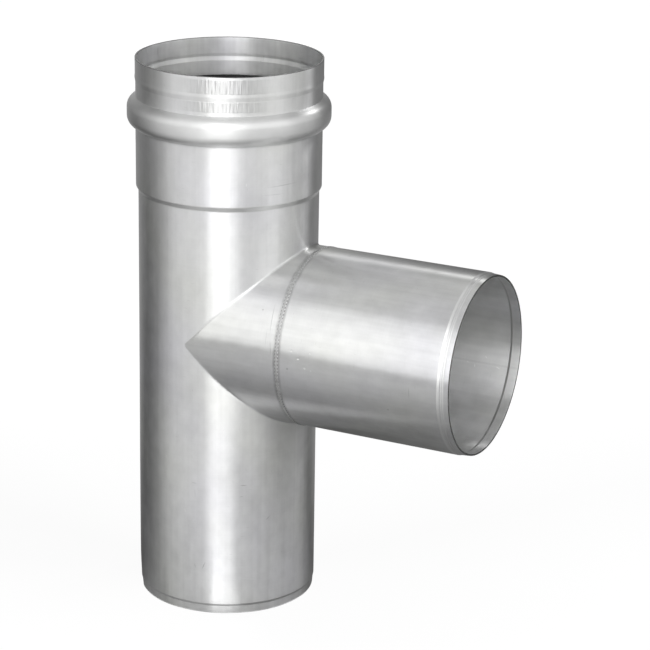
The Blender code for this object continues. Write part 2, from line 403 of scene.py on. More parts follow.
# Middle height and width of the rings that rollers left smooth: the bead, the step and the foot's lead-in
FORMED_RINGS = (
    (RIM - BEAD_MIDDLE, BEAD_WIDTH + 0.2 * MM),
    (RIM - STEP_MIDDLE, STEP_HEIGHT + 1.6 * MM),
    (FOOT_LEAD + LEAD_STEP_LENGTH / 2, LEAD_STEP_LENGTH + 0.7 * MM),
)


def run_shell():
    """The run with its socket, its neck and its foot, which stands at 0. Its axis is Z."""
    skin = Skin()
    outside = run_skin(skin, 0.0, OUTER_STRETCH, OUTER_ROWS, (OUTSIDE, NECK_OUTSIDE))
    inside = run_skin(skin, SHEET, INNER_STRETCH, INNER_ROWS, (INSIDE, NECK_INSIDE))
    for outer, inner in zip(outside, inside):
        skin.bridge(outer, inner, OUTSIDE)
    for middle, width in FORMED_RINGS:
        mark_faces(skin, middle - width / 2, middle + width / 2, FORMED, OUTSIDE)
    mark_faces(skin, RIM - END_ROOM, RIM, EDGE)
    mark_faces(skin, 0.0, END_ROOM, EDGE)
    return skin


FORMED_MARGIN = 0.2 * MM  # above and below the step of the branch's lead-in


def turned_over(corners):
    """A section that was written up from the mouth, as distances from the run's axis."""
    return [(MOUTH - height, radius, fillet) for height, radius, fillet in reversed(corners)]


def branch_shell():
    """The side pipe, with its own Z along the branch and its origin on the run's axis."""
    skin = Skin()
    plain = turned_over(spigot_corners(MOUTH - BRANCH_START, MOUTH_LEAD))
    ringed = turned_over(spigot_corners(MOUTH - BRANCH_START, MOUTH_LEAD, MOUTH_RINGS))
    outer = with_sheared_end(ringed, 0.0, first=True)
    inner = with_sheared_end(moved_inwards(plain, SHEET), SHEET, first=True)
    outside = [skin.ring(*point) for point in outline(outer, OUTER_STRETCH)]
    inside = [skin.ring(*point) for point in outline(inner, OUTER_STRETCH)]
    skin.bridge_all(outside, OUTSIDE)
    skin.bridge_all(inside, INSIDE)
    skin.bridge(outside[0], inside[0], OUTSIDE)
    skin.bridge(outside[-1], inside[-1], INSIDE)
    lead = MOUTH - MOUTH_LEAD
    mark_faces(skin, lead - LEAD_STEP_LENGTH - FORMED_MARGIN, lead + FORMED_MARGIN, BRANCH_FORMED)
    for depth in MOUTH_RINGS:
        mark_faces(skin, MOUTH - depth - RING_WIDTH, MOUTH - depth + RING_WIDTH, BRANCH_FORMED, OUTSIDE)
    mark_faces(skin, MOUTH - END_ROOM, MOUTH, BRANCH_EDGE)
    return skin


WELD_COLUMNS = 720
WELD_STEPS = 16
WELD_RIPPLE = 1.6 * MM  # from one ripple to the next
WELD_BURIED = 0.05 * MM  # how deep its toes lie in the sheet
WELD_FLOW = 9.0  # how often the bead wanders along one radius of the pipe
TOE_REACH = (0.93, 0.07)  # share of half the bead's width, and how much of it wanders
SWELL = (0.40, 0.08)  # share of the crown's height, and how much of it wanders
RIPPLE_BEND = (1.6, 0.9)  # in radians, from the middle to the toes and by the wandering
RIPPLE_SHARE = 0.8  # of the crown's height, near the toes
# The root inside the pipe, as shares of half the bead's width and how far it stands in, in mm
WELD_ROOT = ((0.8, 0.0), (0.45, 0.12), (0.0, 0.16), (-0.45, 0.12), (-0.8, 0.0))


def weld_shell():
    """The bead of the butt weld: a low crown, ripples that are strongest at its toes, and a root inside."""
    skin = Skin()
    ripples = round(2 * math.pi * PIPE_RADIUS / WELD_RIPPLE)
    half = WELD_WIDTH / 2
    loops = []
    for k in range(WELD_STEPS + 1):
        place = 2 * k / WELD_STEPS - 1
        loop = []
        for j in range(WELD_COLUMNS):
            angle = ring_angle(j, WELD_COLUMNS)
            drift = noise.noise(Vector(on_circle(1.0, angle, place * 0.2)) * WELD_FLOW)
            toe = half * place * (TOE_REACH[0] + TOE_REACH[1] * drift)
            ripple = math.sin(ripples * angle + RIPPLE_BEND[0] * place**2 + RIPPLE_BEND[1] * drift)
            swell = (1 - place**4) * (SWELL[0] + SWELL[1] * drift)
            rise = WELD_CROWN * max(swell + RIPPLE_SHARE * ripple * place**4 * (1 - place**8), 0.0)
            if k in (0, WELD_STEPS):
                rise -= WELD_BURIED
            loop.append(skin.point(*on_circle(PIPE_RADIUS + rise, angle, WELD_MIDDLE + toe)))
        loops.append(loop)
    for place, rise in WELD_ROOT:
        loops.append(skin.ring(WELD_MIDDLE + half * place, PIPE_RADIUS - SHEET - rise * MM, WELD_COLUMNS))
    skin.bridge_all([*loops, loops[0]])
    return skin


SEAL_ROOM = 0.1 * MM  # between the seal's back and the bead
LIP_REACH = 0.3 * MM  # how far the lips stand inside the size of the plain pipe
LIP_START = 0.5 * MM  # from the seal's edge
LIP_END = 1.7 * MM
LIP_FILLETS = (0.25 * MM, 0.3 * MM)
WAIST_DEPTH = 0.9 * MM  # behind the lips
HALF_WAIST = 2.4 * MM
WAIST_FILLET = 0.8 * MM


def seal_shell():
    """The lip seal: two wiping lips at its edges and a hollow waist, on a back that fills the bead."""
    skin = Skin()
    groove = moved_inwards(bead_corners(), SHEET + SEAL_ROOM)
    back = outline(groove, INNER_STRETCH)
    top = back[0][0]
    bottom = back[-1][0]
    lip = PIPE_RADIUS - LIP_REACH
    waist = lip + WAIST_DEPTH
    front = [
        (bottom, back[-1][1], 0),
        (bottom + LIP_START, lip, LIP_FILLETS[0]),
        (bottom + LIP_END, lip, LIP_FILLETS[1]),
        (RIM - BEAD_MIDDLE - HALF_WAIST, waist, WAIST_FILLET),
        (RIM - BEAD_MIDDLE + HALF_WAIST, waist, WAIST_FILLET),
        (top - LIP_END, lip, LIP_FILLETS[1]),
        (top - LIP_START, lip, LIP_FILLETS[0]),
        (top, back[0][1], 0),
    ]
    loops = [skin.ring(*point) for point in [*back, *outline(front, INNER_STRETCH)[1:-1]]]
    skin.bridge_all([*loops, loops[0]])
    return skin


# Unevenness of a formed sheet

noise.seed_set(1)  # without a seed, noise_vector differs from run to run
STREAK_WAVE = 0.13 * MM  # the flats and ridges that the bending rolls leave along a pipe
FINE_STREAK_WAVE = 0.018 * MM
BROAD_STREAK = (15 * MM, 95 * MM)  # how wide and how long they are
FINE_STREAK = (5 * MM, 45 * MM)
DENT_TURN = math.radians(-151)
DENT_DEPTH = 0.75 * MM
DENT_WIDTH = 6 * MM
DENT_HEIGHT = 9 * MM
RIM_WAVE = 0.16 * MM  # most that the rim dips
RIM_WAVE_LENGTH = 24 * MM
RIM_WAVE_END = 6 * MM  # below the rim
RIM_CALM = 9 * MM  # below the rim; nearer to it the bowing leaves the heights as they are
MOUTH_CALM = 14 * MM  # from the mouth; nearer to it the unevenness fades out
NECK_BLEND = 2 * MM  # off the run's wall, where the streaks have turned to the neck's way
LONG_BOW = 38 * MM
LONG_BOW_SHARE = 0.6
SHORT_BOW = 13 * MM
SHORT_BOW_SHARE = 0.3
SHORT_BOW_OFFSET = Vector((7, 3, 5))  # to another part of the noise, as the next two
STREAK_OFFSET = Vector((2, 9, 4))
BRANCH_OFFSET = Vector((0, 0, 1))


def share_of(value, whole):
    """How much of the whole this is, from 0 to 1."""
    return min(1.0, max(0.0, value / whole))


def bowing(point, amount):
    """How far the rolled sheet strays from its true form here, in long and short waves."""
    long_waves = noise.noise_vector(point / LONG_BOW) * LONG_BOW_SHARE
    short_waves = noise.noise_vector(point / SHORT_BOW + SHORT_BOW_OFFSET) * SHORT_BOW_SHARE
    return (long_waves + short_waves) * amount


def scaled(point, size):
    """A place measured by the width and the length of a streak."""
    width, length = size
    return Vector((point.x / width, point.y / width, point.z / length))


def rolled_streak(point):
    """The streaks along a pipe whose axis is Z, as a push away from that axis."""
    broad = scaled(point, BROAD_STREAK)
    fine = scaled(point, FINE_STREAK)
    push = noise.noise(broad + STREAK_OFFSET) * STREAK_WAVE + noise.noise(fine) * FINE_STREAK_WAVE
    return Vector((point.x, point.y, 0)).normalized() * push


def neck_share(point):
    """0 on the run's own wall and 1 on the neck."""
    if point.x <= 0 or abs(point.z - BRANCH_HEIGHT) > PIPE_RADIUS + NECK_FOLD:
        return 0.0
    return share_of(math.hypot(point.x, point.y) - PIPE_RADIUS, NECK_BLEND)


def bent_foot(point):
    """The foot is bent in a little where it was once dropped."""
    around = (math.atan2(point.y, point.x) - DENT_TURN) * PIPE_RADIUS / DENT_WIDTH
    depth = DENT_DEPTH * math.exp(-(around**2) - (point.z / DENT_HEIGHT) ** 2)
    return Vector((point.x, point.y, 0)).normalized() * -depth


def to_branch(point):
    """The same point with Z along the branch, as the side pipe has it."""
    return Vector((BRANCH_HEIGHT - point.z, point.y, point.x))


def from_branch(direction):
    """The same direction with Z up again."""
    return Vector((direction.z, direction.y, -direction.x))


def run_unevenness(point):
    """The point of the run as it really lies. Its streaks leave out the bead, which was rolled true."""
    below_rim = RIM - point.z
    shift = bowing(point, BOW_ROOM)
    shift.z *= share_of(below_rim, RIM_CALM)
    if below_rim > BEAD_MIDDLE + BEAD_WIDTH or below_rim < BEAD_MIDDLE - BEAD_WIDTH:
        share = neck_share(point)
        branch_point = to_branch(point)
        shift += rolled_streak(point) * (1 - share) + from_branch(rolled_streak(branch_point)) * share
    shift += bent_foot(point)
    near_rim = max(0.0, 1 - below_rim / RIM_WAVE_END)
    around_rim = noise.noise(Vector((point.x, point.y, 0)) / RIM_WAVE_LENGTH)
    shift.z -= near_rim * RIM_WAVE * (0.5 + 0.5 * around_rim)
    return point + shift


def branch_unevenness(point):
    """The point of the branch as it really lies. Its mouth was rolled true."""
    shift = bowing(point + BRANCH_OFFSET, BOW_ROOM / 2) + rolled_streak(point)
    return point + shift * share_of(MOUTH - point.z, MOUTH_CALM)


def kept_inside(point, low, high):
    """The nearest point in the box from low to high."""
    return Vector([min(max(value, least), most) for value, least, most in zip(point, low, high)])


# Pieces


def add_object(name, data):
    added = bpy.data.objects.new(name, data)
    bpy.context.scene.collection.objects.link(added)
    return added


def make_faces_point_out(mesh):
    bm = bmesh.new()
    bm.from_mesh(mesh)
    bmesh.ops.recalc_face_normals(bm, faces=bm.faces[:])
    bm.to_mesh(mesh)
    bm.free()


def add_piece(name, skin, materials, replaced, location, tilt=0.0, middle=(0, 0, 0)):
    mesh = bpy.data.meshes.new(name)
    mesh.from_pydata(skin.points, [], skin.faces)
    for material in materials:
        mesh.materials.append(material)
    mesh.polygons.foreach_set("material_index", skin.slots)
    mesh.shade_smooth()
    # The tangents of the materials go round an axis through the middle of the texture space
    mesh.use_auto_texspace = False
    mesh.texspace_location = middle
    mesh.texspace_size = (RIM, RIM, RIM)
    piece = add_object(name, mesh)
    piece.location = location
    piece.rotation_euler = (0, tilt, 0)
    make_faces_point_out(mesh)
    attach(piece, "root")
    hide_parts(replaced)


# Materials. Their patterns are measured in millimetres on the pipe that the face belongs to.


def colour(code):
    """An sRGB hex colour as linear RGBA."""
    channels = [int(code[i : i + 2], 16) / 255 for i in (1, 3, 5)]
    linear = [c / 12.92 if c <= 0.04045 else ((c + 0.055) / 1.055) ** 2.4 for c in channels]
    return (*linear, 1.0)


def set_inputs(node, inputs):
    """Links the inputs that are given a socket, and sets the others."""
    for key, value in inputs.items():
        if isinstance(value, bpy.types.NodeSocket):
            node.id_data.links.new(value, node.inputs[key])
        else:
            node.inputs[key].default_value = value


def add_node(tree, kind, inputs=(), output=0, **settings):
    """Adds a shader node with its settings and inputs, and gives one of its outputs."""
    node = tree.nodes.new("ShaderNode" + kind)
    for name, value in settings.items():
        setattr(node, name, value)
    set_inputs(node, dict(inputs))
    return node.outputs[output]


def new_material(name):
    """A material with its main shader, ready to be set."""
    material = bpy.data.materials.new(name)
    material.use_nodes = True
    return material, material.node_tree.nodes["Principled BSDF"]


# Stainless steel sheet as the mill and the bending rolls leave it: satin, with fine lines along the pipe
# that spread each highlight round it. A look is the roughness, the anisotropy, and the darkest and the
# lightest that clouds and streaks make the steel. The insides are given paler tones than the outside:
# painted light, which lifts the shade inside the pipes.
OUTSIDE_LOOK = (0.39, 1.0, ("#C2C2C2", "#F2F2F2"))
RUN_BORE_LIGHTENED_LOOK = (0.38, 0.9, ("#D6D6D6", "#FCFCFC"))
BRANCH_BORE_LIGHTENED_LOOK = (0.42, 0.95, ("#D6D6D6", "#FCFCFC"))
FORMED_LOOK = (0.39, 0.6, ("#C2C2C2", "#F2F2F2"))
# The cut edge's dark tones are painted shade on the narrow end of the sheet.
EDGE_SHADE_LOOK = (0.38, 0.0, ("#404040", "#8A8A8A"))
WELD_LOOK = (0.50, 0.5, ("#8A8A8A", "#DCDCDC"))
TINTS = ("#F9FAF6", "#F7F7FA")  # a trace of yellow and a trace of blue
GRAIN_TURN = 0.25  # of a full turn: the tangent goes round the pipe and the grain along it


def round_pipe(turn):
    """A turn in degrees as millimetres round the pipe."""
    return math.radians(turn) * PIPE_RADIUS / MM


class SteelFinish:
    """The finish of one steel face of a pipe, built up in layers.

    A layer is a pattern from 0 to 1 that adds to the tone, the tint, the roughness or the height (in mm).
    """

    def __init__(self, name, look, along_branch=False):
        roughness, self.anisotropy, self.tones = look
        self.material, self.shader = new_material(name)
        self.tree = self.material.node_tree
        self.levels = {"tone": 0.5, "tint": 0.5, "roughness": roughness, "height": 0.0}
        self.layers = {channel: [] for channel in self.levels}
        place = add_node(self.tree, "TexCoord", output="Object")
        frame_of_pipe = {"Vector": place, "Scale": (MM, MM, MM)}
        if along_branch:
            frame_of_pipe["Location"] = (0, 0, BRANCH_HEIGHT)
            frame_of_pipe["Rotation"] = (0, math.pi / 2, 0)
        self.place = add_node(self.tree, "Mapping", frame_of_pipe, vector_type="TEXTURE")
        x, y, self.along = add_node(self.tree, "SeparateXYZ", {0: self.place}).node.outputs
        turn = add_node(self.tree, "Math", {0: y, 1: x}, operation="ARCTAN2")
        self.around = self.product(turn, PIPE_RADIUS / MM)
        self.unrolled = add_node(self.tree, "CombineXYZ", {"X": self.around, "Y": self.along})
        self.tangent_axis = "X" if along_branch else "Z"

    def lay(self, pattern, neutral=0.0, **weights):
        """Adds a pattern to the named channels. Where it has its neutral value, it changes nothing."""
        for channel, weight in weights.items():
            self.layers[channel].append((pattern, weight))
            self.levels[channel] -= weight * neutral

    def total(self, channel):
        total = self.levels[channel]
        for pattern, weight in self.layers[channel]:
            terms = {0: pattern, 1: weight, 2: total}
            total = add_node(self.tree, "Math", terms, operation="MULTIPLY_ADD")
        return total

    def product(self, first, second):
        """Two patterns multiplied, which shows where both do."""
        return add_node(self.tree, "Math", {0: first, 1: second}, operation="MULTIPLY")

    def fading(self, distance, start, end):
        """1 up to the distance start, falling smoothly to 0 at end."""
        inputs = {"Value": distance, "From Min": start, "From Max": end, "To Min": 1.0, "To Max": 0.0}
        return add_node(self.tree, "MapRange", inputs, interpolation_type="SMOOTHSTEP")

    def patches(self, size, detail=2.0, unrolled=False):
        """Noise in patches of this size."""
        steps = {0: self.unrolled if unrolled else self.place, 1: [1 / s for s in size]}
        place = add_node(self.tree, "VectorMath", steps, operation="MULTIPLY")
        return add_node(self.tree, "TexNoise", {"Vector": place, "Scale": 1.0, "Detail": detail})

    def band(self, value, middle, half, fade):
        """1 where the value is at most half from the middle, falling to 0 within fade beyond that."""
        off = add_node(self.tree, "Math", {0: value, 1: middle}, operation="SUBTRACT")
        distance = add_node(self.tree, "Math", {0: off}, operation="ABSOLUTE")
        return self.fading(distance, half, half + fade)

    def turned_sheet(self, tilt, size, middle=(0, 0, 0)):
        """Places on the unrolled sheet from this middle, tilted, and measured by this size."""
        inputs = {"Location": middle, "Rotation": (0, 0, math.radians(tilt)), "Scale": size}
        inputs["Vector"] = self.unrolled
        return add_node(self.tree, "Mapping", inputs, vector_type="TEXTURE")

    def mark(self, turn, along, length, width, tilt):
        """1 in the middle of a short mark. Turn and tilt are in degrees; a tilt of 90 lies round the pipe."""
        at = self.turned_sheet(tilt, (width / 2, length / 2, 1), (round_pipe(turn), along, 0))
        distance = add_node(self.tree, "VectorMath", {0: at}, output="Value", operation="LENGTH")
        return self.fading(distance, 0.0, 1.0)

    def nicks(self, cell, length, width, tilt, share):
        """Scattered nicks, at most one in each cell of the unrolled sheet and in this share of the cells."""
        spread = cell / math.sqrt(width * length)
        inputs = {"Vector": self.turned_sheet(tilt, (width, length, 1)), "Scale": 1 / spread}
        cells = add_node(self.tree, "TexVoronoi", inputs, voronoi_dimensions="2D").node.outputs
        present = add_node(self.tree, "Math", {0: cells["Color"], 1: share}, operation="LESS_THAN")
        return self.product(self.fading(cells["Distance"], 0.0, 0.5 / spread), present)

    def finish(self):
        """Gives the material with its layers added up."""
        tree = self.tree
        mixed = {"output": "Result", "data_type": "RGBA"}
        shades = []
        for channel, (least, most) in (("tone", self.tones), ("tint", TINTS)):
            inputs = {"Factor": self.total(channel), "A": colour(least), "B": colour(most)}
            shades.append(add_node(tree, "Mix", inputs, **mixed))
        inputs = {"Factor": 1.0, "A": shades[0], "B": shades[1]}
        tinted = add_node(tree, "Mix", inputs, blend_type="MULTIPLY", **mixed)
        surface = {
            "Base Color": tinted,
            "Metallic": 1.0,
            "Roughness": self.total("roughness"),
            "Normal": add_node(tree, "Bump", {"Height": self.total("height"), "Distance": MM}),
            "Tangent": add_node(tree, "Tangent", direction_type="RADIAL", axis=self.tangent_axis),
            "Anisotropic": self.anisotropy,
            "Anisotropic Rotation": GRAIN_TURN,
        }
        set_inputs(self.shader, surface)
        return self.material


def add_rolled_surface(finish):
    """What the mill and the bending rolls leave on every sheet: clouds, streaks and fine grain.

    The real grain is too fine to show, so it is drawn 0.4 mm coarse.
    """
    clouds = finish.patches((26, 26, 40), detail=3.0)
    finish.lay(clouds, 0.5, tone=0.9, roughness=0.10)
    mottle = finish.patches((5, 5, 7), detail=3.0)
    finish.lay(mottle, 0.5, tone=0.6, roughness=0.08, height=0.02)
    streaks = finish.patches((2.4, 2.4, 110))
    finish.lay(streaks, 0.5, tone=0.45, roughness=0.05)
    grain = finish.patches((24, 24, 0.4))
    finish.lay(grain, 0.5, tone=0.12, roughness=0.05, height=0.0012)
    tints = finish.patches((34, 34, 60))
    finish.lay(tints, 0.5, tint=2.2)


def add_handling_nicks(finish):
    """Small nicks from storing and carrying, nearly upright and nearly level."""
    upright = finish.nicks(cell=11, length=1.6, width=0.4, tilt=6, share=0.35)
    finish.lay(upright, tone=-0.25, height=-0.02)
    level = finish.nicks(cell=13, length=2.4, width=0.3, tilt=84, share=0.35)
    finish.lay(level, tone=-0.35, height=-0.012)


def add_marks(finish, marks):
    """Single marks, each with its turn, place along the pipe, length, width, tilt, tone and height."""
    for turn, along, length, width, tilt, tone, height in marks:
        finish.lay(finish.mark(turn, along, length, width, tilt), tone=tone, height=height)


TICKED_TURN = -64  # middle of the stretch of the collar where the highlight falls, to which the ticks are kept, in degrees
HALF_TICKED = 9  # half its length in mm, as the next three
TICKED_FADE = 14
TICK_BANDS = ((4.3, 2.7), (13.2, 1.8))  # middle below the rim, and half the height
TICK_FADE = 0.8


def add_expander_ticks(finish):
    """Upright ticks that the fingers of the expander pressed into the collar, in two bands. They are drawn
    only where the highlight falls, and their darkening is painted shade of their ripples.
    """
    ticks = finish.patches((1.1, 9, 1), detail=1.0, unrolled=True)
    under_highlight = finish.band(finish.around, round_pipe(TICKED_TURN), HALF_TICKED, TICKED_FADE)
    depth = add_node(finish.tree, "Math", {0: RIM / MM, 1: finish.along}, operation="SUBTRACT")
    for middle, half in TICK_BANDS:
        band = finish.band(depth, middle, half, TICK_FADE)
        pressed = finish.product(finish.product(ticks, band), under_highlight)
        # the height is the ticks' relief; the darker tone is painted shade on it
        finish.lay(pressed, 0.2, height=0.2, tone=-0.7)


# Half widths and fades of the seam, the weld's crown and the grey stripe beside the weld, in mm
HALF_SEAM = 0.3
SEAM_FADE = 0.4
HALF_CROWN = 0.45
CROWN_FADE = 0.3
HALF_HEAT = 1.1
HEAT_FADE = 1.2


def add_lengthwise_seam(finish, turn, strength=1.0):
    """The pipe's own seam: a planished weld that is duller than the sheet, with fine cross ripples."""
    bead = finish.band(finish.around, round_pipe(turn), HALF_SEAM, SEAM_FADE)
    ripples = finish.patches((1, 1, 0.6))
    finish.lay(bead, tone=-0.2 * strength, height=0.02 * strength)
    finish.lay(finish.product(bead, ripples), tone=-0.5 * strength, height=0.03 * strength)


def add_weld_heat(finish):
    """The greyer and duller stripe that welding and brushing leave beside the butt weld."""
    heat = finish.band(finish.along, WELD_MIDDLE / MM, HALF_HEAT, HEAT_FADE)
    uneven = finish.patches((2.5, 2.5, 4))
    finish.lay(finish.product(heat, uneven), tone=-0.7, roughness=0.12)


# Turn, place along the pipe, length, width, tilt, tone and height of the marks that handling left. A lighter
# tone in a mark is a painted glint on it.
RUN_MARKS = (
    (-89.3, 48.4, 2.6, 0.7, 6, 0.3, -0.05),
    (-83.0, 62.2, 3.4, 0.5, 84, -0.6, -0.02),
    (-82.4, 57.5, 6.0, 0.4, 3, -0.5, -0.01),
    (-51.0, 61.9, 4.2, 0.6, 87, -0.8, -0.03),
    (-52.3, 56.6, 2.4, 0.5, 92, -0.6, -0.02),
    (-76.6, 23.0, 5.0, 0.6, -22, -0.9, -0.02),
    (-82.4, 22.4, 3.0, 0.5, 12, -0.6, -0.02),
    (-34.3, 44.9, 3.4, 0.5, -48, -0.7, -0.02),
    (-46.0, 16.4, 9.0, 0.5, 80, 0.4, 0.02),
    (-103.7, 72.0, 2.0, 0.6, 0, 0.4, -0.04),
    (-122.4, 21.8, 1.2, 0.8, 0, 0.4, -0.05),
    (-27.0, 198.4, 20.0, 0.7, 91, -0.5, -0.02),
    (-33.0, 194.8, 14.0, 0.5, 88, -0.4, -0.02),
    (-50.8, 200.2, 1.8, 0.8, 10, 0.4, -0.05),
)
NECK_MARKS = (
    (-120.7, 35.9, 1.2, 1.0, 0, -1.6, -0.03),
    (-116.0, 41.2, 17.0, 0.5, 93, -0.9, 0.02),
    (-98.0, 42.4, 9.0, 0.5, 98, -0.8, 0.02),
    (-104.0, 39.9, 12.0, 0.3, 90, -0.5, 0.01),
)
# The lighter dents beside the weld carry painted glints.
BRANCH_MARKS = (
    (-98.6, 52.6, 1.6, 0.9, 80, 0.5, -0.06),
    (-99.0, 61.5, 1.2, 0.9, 0, 0.5, -0.06),
    (-94.4, 56.0, 1.6, 1.2, 20, 0.5, -0.06),
    (-89.1, 59.3, 1.8, 1.4, 0, 0.5, -0.07),
    (-88.1, 62.2, 1.0, 0.8, 0, 0.6, -0.05),
    (-86.5, 50.8, 1.4, 1.2, 0, -0.9, -0.03),
    (-85.2, 108.5, 7.0, 0.5, 92, -0.6, -0.01),
    (-70.8, 98.2, 1.6, 1.0, 0, -0.6, -0.02),
)
# The lighter dents in the branch's bore carry painted glints.
BORE_MARKS = (
    (75.1, 110.3, 1.8, 0.8, 60, 0.8, -0.06),
    (68.3, 105.5, 2.2, 0.6, 80, 0.8, -0.05),
    (69.3, 116.7, 3.0, 0.6, 20, 0.8, -0.05),
    (70.0, 102.0, 1.2, 0.6, 40, 0.8, -0.05),
)
SOCKET_MARKS = (
    (96.7, 238.3, 2.6, 0.7, 4, -2.0, -0.06),
    (98.4, 236.4, 1.2, 0.7, 0, -1.6, -0.04),
    (-178.0, 245.4, 3.0, 0.5, 0, 0.9, -0.05),
    (170.6, 243.5, 6.0, 1.0, 0, -0.8, -0.02),
)
# Where the lengthwise seams are, in degrees
RUN_SEAM = 97
BRANCH_SEAM = 71


def run_outside():
    """Bright satin with a few upright highlights, which the handling has marked here and there."""
    finish = SteelFinish("stainless_run_outside", OUTSIDE_LOOK)
    add_rolled_surface(finish)
    add_handling_nicks(finish)
    add_expander_ticks(finish)
    add_lengthwise_seam(finish, RUN_SEAM)
    add_marks(finish, RUN_MARKS)
    return finish.finish()


def run_inside():
    """The same sheet inside, in paler tones: painted light that lifts the shade in the socket."""
    finish = SteelFinish("stainless_run_inside", RUN_BORE_LIGHTENED_LOOK)
    add_rolled_surface(finish)
    add_lengthwise_seam(finish, RUN_SEAM, 0.15)
    add_marks(finish, SOCKET_MARKS)
    return finish.finish()


def formed_ring():
    """Where forming rollers ran, which left the sheet smoother and without its grain."""
    finish = SteelFinish("stainless_formed_ring", FORMED_LOOK)
    clouds = finish.patches((16, 16, 16), detail=3.0)
    finish.lay(clouds, 0.5, tone=0.8, roughness=0.10, height=0.02)
    return finish.finish()


def sheared_edge():
    """The cut end of the sheet, darker than its faces and without their grain. The darkness is painted shade.
    """
    finish = SteelFinish("stainless_sheared_edge", EDGE_SHADE_LOOK)
    finish.lay(finish.patches((3, 3, 3), detail=3.0), 0.5, tone=1.2, roughness=0.2)
    return finish.finish()


def neck_face(name, look, marks=()):
    """The run's sheet where it was pulled out: its lines and its highlights go along the branch."""
    finish = SteelFinish(name, look, along_branch=True)
    add_rolled_surface(finish)
    add_weld_heat(finish)
    add_marks(finish, marks)
    return finish.finish()


def branch_face(name, look, marks):
    """The same sheet as the run's, with a fainter seam and the grey edge of the butt weld."""
    finish = SteelFinish(name, look)
    add_rolled_surface(finish)
    add_handling_nicks(finish)
    add_lengthwise_seam(finish, BRANCH_SEAM, 0.4)
    add_weld_heat(finish)
    add_marks(finish, marks)
    return finish.finish()


def weld_metal():
    """TIG weld metal under the grey skin that it cooled with, and darker in the ripples at its toes."""
    finish = SteelFinish("stainless_weld_bead", WELD_LOOK)
    finish.lay(finish.patches((1.2, 1.2, 0.8), detail=3.0), 0.5, tone=1.0, roughness=0.15, height=0.03)
    wave = finish.product(finish.around, 2 * math.pi / (WELD_RIPPLE / MM))
    ripple = add_node(finish.tree, "Math", {0: wave}, operation="SINE")
    crown = finish.band(finish.along, WELD_MIDDLE / MM, HALF_CROWN, CROWN_FADE)
    at_toes = add_node(finish.tree, "Math", {0: 1.0, 1: crown}, operation="SUBTRACT")
    finish.lay(finish.product(ripple, at_toes), tone=0.9, height=0.05)
    return finish.finish()


def silicone():
    """Moulded silicone rubber: black with a soft, wide sheen."""
    material, shader = new_material("black_silicone_seal")
    set_inputs(shader, {"Base Color": colour("#2B2B2C"), "Roughness": 0.55})
    return material


# The four pieces

run_place = Vector((RUN_AXIS_X, 0, 0))
branch_place = (RUN_AXIS_X, 0, BRANCH_HEIGHT)
along_branch = math.pi / 2

run = run_shell()
run.points = [kept_inside(run_unevenness(p), run_low - run_place, run_high - run_place) for p in run.points]
run_faces = [
    run_outside(),
    run_inside(),
    neck_face("stainless_neck_outside", OUTSIDE_LOOK, NECK_MARKS),
    # the neck's bore has the paler tones: painted light inside it
    neck_face("stainless_neck_inside", BRANCH_BORE_LIGHTENED_LOOK),
    formed_ring(),
    sheared_edge(),
]
crossing = (0, 0, BRANCH_HEIGHT)  # of the two pipes' axes
add_piece("run_of_pipe", run, run_faces, "run_tube", run_place, middle=crossing)

branch = branch_shell()
branch.points = [branch_unevenness(p) for p in branch.points]
branch_faces = [
    branch_face("stainless_branch_outside", OUTSIDE_LOOK, BRANCH_MARKS),
    # the branch's bore has the paler tones: painted light inside it
    branch_face("stainless_branch_inside", BRANCH_BORE_LIGHTENED_LOOK, BORE_MARKS),
    run_faces[FORMED],
    run_faces[EDGE],
]
add_piece("side_branch", branch, branch_faces, "branch_tube", branch_place, along_branch)
add_piece("butt_weld", weld_shell(), [weld_metal()], "branch_weld", branch_place, along_branch)
add_piece("lip_seal", seal_shell(), [silicone()], "socket_seal", run_place)


# Camera, as the photograph has it

CAMERA_PLACE = Vector((0.503042, -0.986437, 0.496845))
CAMERA_YAW = 0.465158
CAMERA_PITCH = 0.319387
CAMERA_ROLL = 0.016407
CAMERA_SIDE = math.atan2(CAMERA_PLACE.y, CAMERA_PLACE.x - RUN_AXIS_X)  # its turn round the run's axis
SENSOR = 36.0
LENS = 145.82


def add_camera():
    data = bpy.data.cameras.new("camera")
    data.sensor_width = SENSOR
    data.lens = LENS
    data.clip_start = 0.05
    data.clip_end = 50.0
    camera = add_object("camera", data)
    turn = Matrix.Rotation(CAMERA_YAW, 4, "Z")
    tip = Matrix.Rotation(math.pi / 2 - CAMERA_PITCH, 4, "X")
    roll = Matrix.Rotation(CAMERA_ROLL, 4, "Z")
    camera.matrix_world = Matrix.Translation(CAMERA_PLACE) @ turn @ tip @ roll
    bpy.context.scene.camera = camera


# Studio

# The tee stands on a grey card inside grey walls, which only its metal shows. The walls and the ceiling glow
# as the studio's lamps; the card's glow is painted light and shade, a table lit from the front with the tee's
# shadow painted in. To the camera, and in the metal where the walls leave a gap behind the tee, everything is
# white paper.
CARD_LIFT = 0.3 * MM
CARD_HOLE = PIPE_RADIUS - 0.5 * MM
WALL_RADIUS = 1.0
WALL_HEIGHT = 1.5
GAP = 9  # half the angle of the gap in the wall behind the tee, in degrees
CARD_TURN = 3  # between two corners of the card and the walls, in degrees
